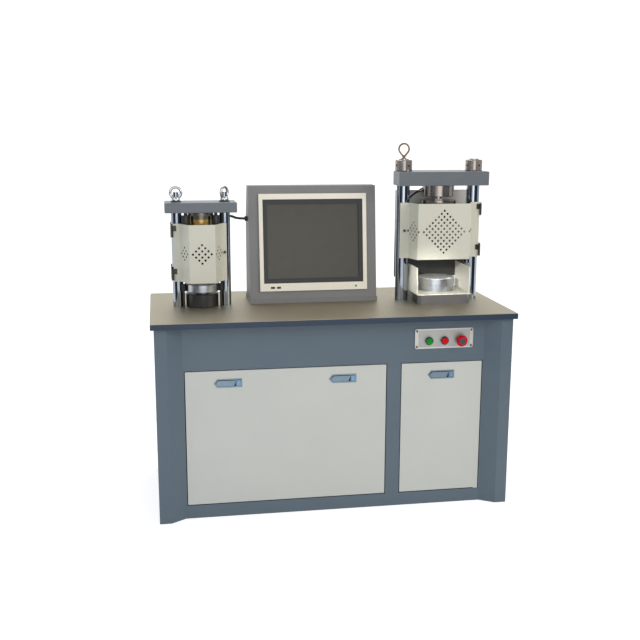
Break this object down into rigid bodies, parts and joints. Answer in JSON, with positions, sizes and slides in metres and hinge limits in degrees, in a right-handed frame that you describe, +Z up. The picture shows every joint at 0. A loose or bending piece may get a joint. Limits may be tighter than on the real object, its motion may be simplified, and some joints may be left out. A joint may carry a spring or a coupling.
{
  "type": "flexural compression testing machine",
  "caption": "Floor-standing cabinet with two hydraulic load frames, one for bending and one for compression, hinged guards and a console.",
  "frame": {"origin": "on the floor at the centre of the worktop plan", "axes": "+X to the right seen from the front, +Y to the back, +Z up"},
  "size_m": [1.26, 0.592, 1.276],
  "materials": {
    "cabinet_paint": "powder coat, slate blue-grey, fine texture",
    "worktop_edge_paint": "dark blue-grey paint",
    "stainless_top": "brushed stainless sheet",
    "door_paint": "pale grey powder coat",
    "latch_zinc": "blue passivated zinc",
    "latch_button_zinc": "blue passivated zinc",
    "plate_aluminium": "satin anodised",
    "dark_steel": "dark screws",
    "bezel_steel": "polished ring",
    "green_plastic": "moulded",
    "red_plastic": "moulded",
    "black_plastic": "moulded",
    "crosshead_paint": "satin enamel",
    "block_iron": "painted casting",
    "chrome_steel": "hard chrome, ground",
    "bright_steel": "turned steel",
    "bronze_steel": "bent rod, bronze tone",
    "platen_chrome": "ground and chromed",
    "base_steel": "ground block",
    "tray_paint": "cream powder coat",
    "guard_paint": "cream powder coat",
    "black_oxide": "black oxide",
    "rear_guard_paint": "light grey paint",
    "brass_cell": "turned, golden",
    "console_paint": "mid-grey powder coat",
    "bezel_plastic": "moulded ABS",
    "screen_glass": "satin front glass",
    "cable_jacket": "extruded",
    "tank_paint": "enamel",
    "motor_paint": "enamel"
  },
  "bodies": {
    "root": {"button_bezels": "bezel_steel", "cabinet_inner_frame": "cabinet_paint", "cable_glands": "cable_jacket", "comp_ball_seat": "bright_steel", "comp_base_block": "base_steel", "comp_column_nuts": "bright_steel", "comp_debris_tray": "tray_paint", "comp_lifting_eye": "bronze_steel", "comp_load_cell": "bright_steel", "console_housing": "console_paint", "control_plate": "plate_aluminium", "control_plate_screws": "dark_steel", "crossheads": "crosshead_paint", "cylinder_blocks": "block_iron", "electrical_box": "tank_paint", "flex_cylinder_cap": "black_oxide", "flex_eye_nuts": "chrome_steel", "flex_load_cell": "brass_cell", "flex_side_posts": "black_oxide", "flex_spring_sleeves": "black_oxide", "flex_upper_fixture": "bright_steel", "frame_columns": "chrome_steel", "front_fascia": "cabinet_paint", "guard_hinge_fixed_leaves": "black_oxide", "hydraulic_power_unit": "motor_paint", "monitor_bezel": "bezel_plastic", "monitor_glass": "screen_glass", "monitor_inner_frame": "black_plastic", "oil_tank": "tank_paint", "rear_covers": "cabinet_paint", "rear_guards": "rear_guard_paint", "side_panels": "cabinet_paint", "signal_cables": "cable_jacket", "worktop_plate": "worktop_edge_paint", "worktop_skin": "stainless_top"},
    "flex_ram": {"flex_platen": "platen_chrome", "flex_lower_fixture": "bright_steel"},
    "comp_ram": {"comp_ram": "platen_chrome", "comp_lower_platen": "platen_chrome"},
    "comp_upper_platen": {"comp_upper_platen": "bright_steel"},
    "comp_guard": {"comp_guard": "guard_paint", "comp_guard_fittings": "black_oxide"},
    "flex_guard": {"flex_guard": "guard_paint", "flex_guard_fittings": "black_oxide"},
    "large_door": {"large_door": "door_paint", "large_door_latch_bodies": "latch_zinc"},
    "small_door": {"small_door": "door_paint", "small_door_latch_body": "latch_zinc"},
    "latch_paddle_left": {"latch_paddle_left": "latch_zinc"},
    "latch_paddle_middle": {"latch_paddle_middle": "latch_zinc"},
    "latch_paddle_right": {"latch_paddle_right": "latch_zinc"},
    "latch_button_left": {"latch_button_left": "latch_button_zinc"},
    "latch_button_middle": {"latch_button_middle": "latch_button_zinc"},
    "latch_button_right": {"latch_button_right": "latch_button_zinc"},
    "start_button": {"start_button": "green_plastic"},
    "stop_button": {"stop_button": "red_plastic"},
    "emergency_stop_stem": {"emergency_stop_stem": "black_plastic"},
    "emergency_stop_mushroom": {"emergency_stop_mushroom": "red_plastic"},
    "monitor_button_left": {"monitor_button_left": "black_plastic"},
    "monitor_button_right": {"monitor_button_right": "black_plastic"}
  },
  "joints": [
    {"name": "flex_ram_slide", "type": "slide", "parent": "root", "child": "flex_ram", "axis": [0, 0, 1], "range_m": [0, 0.06]},
    {"name": "comp_ram_slide", "type": "slide", "parent": "root", "child": "comp_ram", "axis": [0, 0, 1], "range_m": [0, 0.08]},
    {"name": "comp_platen_tilt", "type": "hinge", "parent": "root", "child": "comp_upper_platen", "pos_m": [0.4255, 0.023, 1.0126], "axis": [1, 0, 0], "range_deg": [-2, 2]},
    {"name": "comp_guard_hinge", "type": "hinge", "parent": "root", "child": "comp_guard", "pos_m": [0.5795, -0.009, 0.961], "axis": [0, 0, 1], "range_deg": [0, 100]},
    {"name": "flex_guard_hinge", "type": "hinge", "parent": "root", "child": "flex_guard", "pos_m": [-0.5455, -0.004, 0.8945], "axis": [0, 0, -1], "range_deg": [0, 100]},
    {"name": "large_door_hinge", "type": "hinge", "parent": "root", "child": "large_door", "pos_m": [-0.17275, -0.24, 0.058], "axis": [1, 0, 0], "range_deg": [0, 90]},
    {"name": "small_door_hinge", "type": "hinge", "parent": "root", "child": "small_door", "pos_m": [0.3755, -0.24, 0.058], "axis": [1, 0, 0], "range_deg": [0, 90]},
    {"name": "latch_paddle_left_hinge", "type": "hinge", "parent": "large_door", "child": "latch_paddle_left", "pos_m": [-0.414, -0.2468, 0.48], "axis": [0, 0, -1], "range_deg": [0, 30], "stiffness_Nm_per_rad": 0.02, "springref_deg": -5.73},
    {"name": "latch_button_left_slide", "type": "slide", "parent": "large_door", "child": "latch_button_left", "axis": [0, 1, 0], "range_m": [0, 0.0025], "stiffness_N_per_m": 300, "springref_m": -0.002},
    {"name": "latch_paddle_middle_hinge", "type": "hinge", "parent": "large_door", "child": "latch_paddle_middle", "pos_m": [-0.018, -0.2468, 0.48], "axis": [0, 0, -1], "range_deg": [0, 30], "stiffness_Nm_per_rad": 0.02, "springref_deg": -5.73},
    {"name": "latch_button_middle_slide", "type": "slide", "parent": "large_door", "child": "latch_button_middle", "axis": [0, 1, 0], "range_m": [0, 0.0025], "stiffness_N_per_m": 300, "springref_m": -0.002},
    {"name": "latch_paddle_right_hinge", "type": "hinge", "parent": "small_door", "child": "latch_paddle_right", "pos_m": [0.334, -0.2468, 0.48], "axis": [0, 0, -1], "range_deg": [0, 30], "stiffness_Nm_per_rad": 0.02, "springref_deg": -5.73},
    {"name": "latch_button_right_slide", "type": "slide", "parent": "small_door", "child": "latch_button_right", "axis": [0, 1, 0], "range_m": [0, 0.0025], "stiffness_N_per_m": 300, "springref_m": -0.002},
    {"name": "start_button_slide", "type": "slide", "parent": "root", "child": "start_button", "axis": [0, 1, 0], "range_m": [0, 0.003], "stiffness_N_per_m": 300, "springref_m": -0.002},
    {"name": "stop_button_slide", "type": "slide", "parent": "root", "child": "stop_button", "axis": [0, 1, 0], "range_m": [0, 0.003], "stiffness_N_per_m": 300, "springref_m": -0.002},
    {"name": "emergency_stop_press", "type": "slide", "parent": "root", "child": "emergency_stop_stem", "axis": [0, 1, 0], "range_m": [0, 0.004], "stiffness_N_per_m": 600, "springref_m": -0.002},
    {"name": "emergency_stop_twist", "type": "hinge", "parent": "emergency_stop_stem", "child": "emergency_stop_mushroom", "pos_m": [0.439, -0.265, 0.6025], "axis": [0, 1, 0], "range_deg": [0, 30], "stiffness_Nm_per_rad": 0.05, "springref_deg": -5.73},
    {"name": "monitor_button_left_slide", "type": "slide", "parent": "root", "child": "monitor_button_left", "axis": [0, 0.9931, -0.1171], "range_m": [0, 0.001], "stiffness_N_per_m": 300, "springref_m": -0.001},
    {"name": "monitor_button_right_slide", "type": "slide", "parent": "root", "child": "monitor_button_right", "axis": [0, 0.9931, -0.1171], "range_m": [0, 0.001], "stiffness_N_per_m": 300, "springref_m": -0.001}
  ]
}
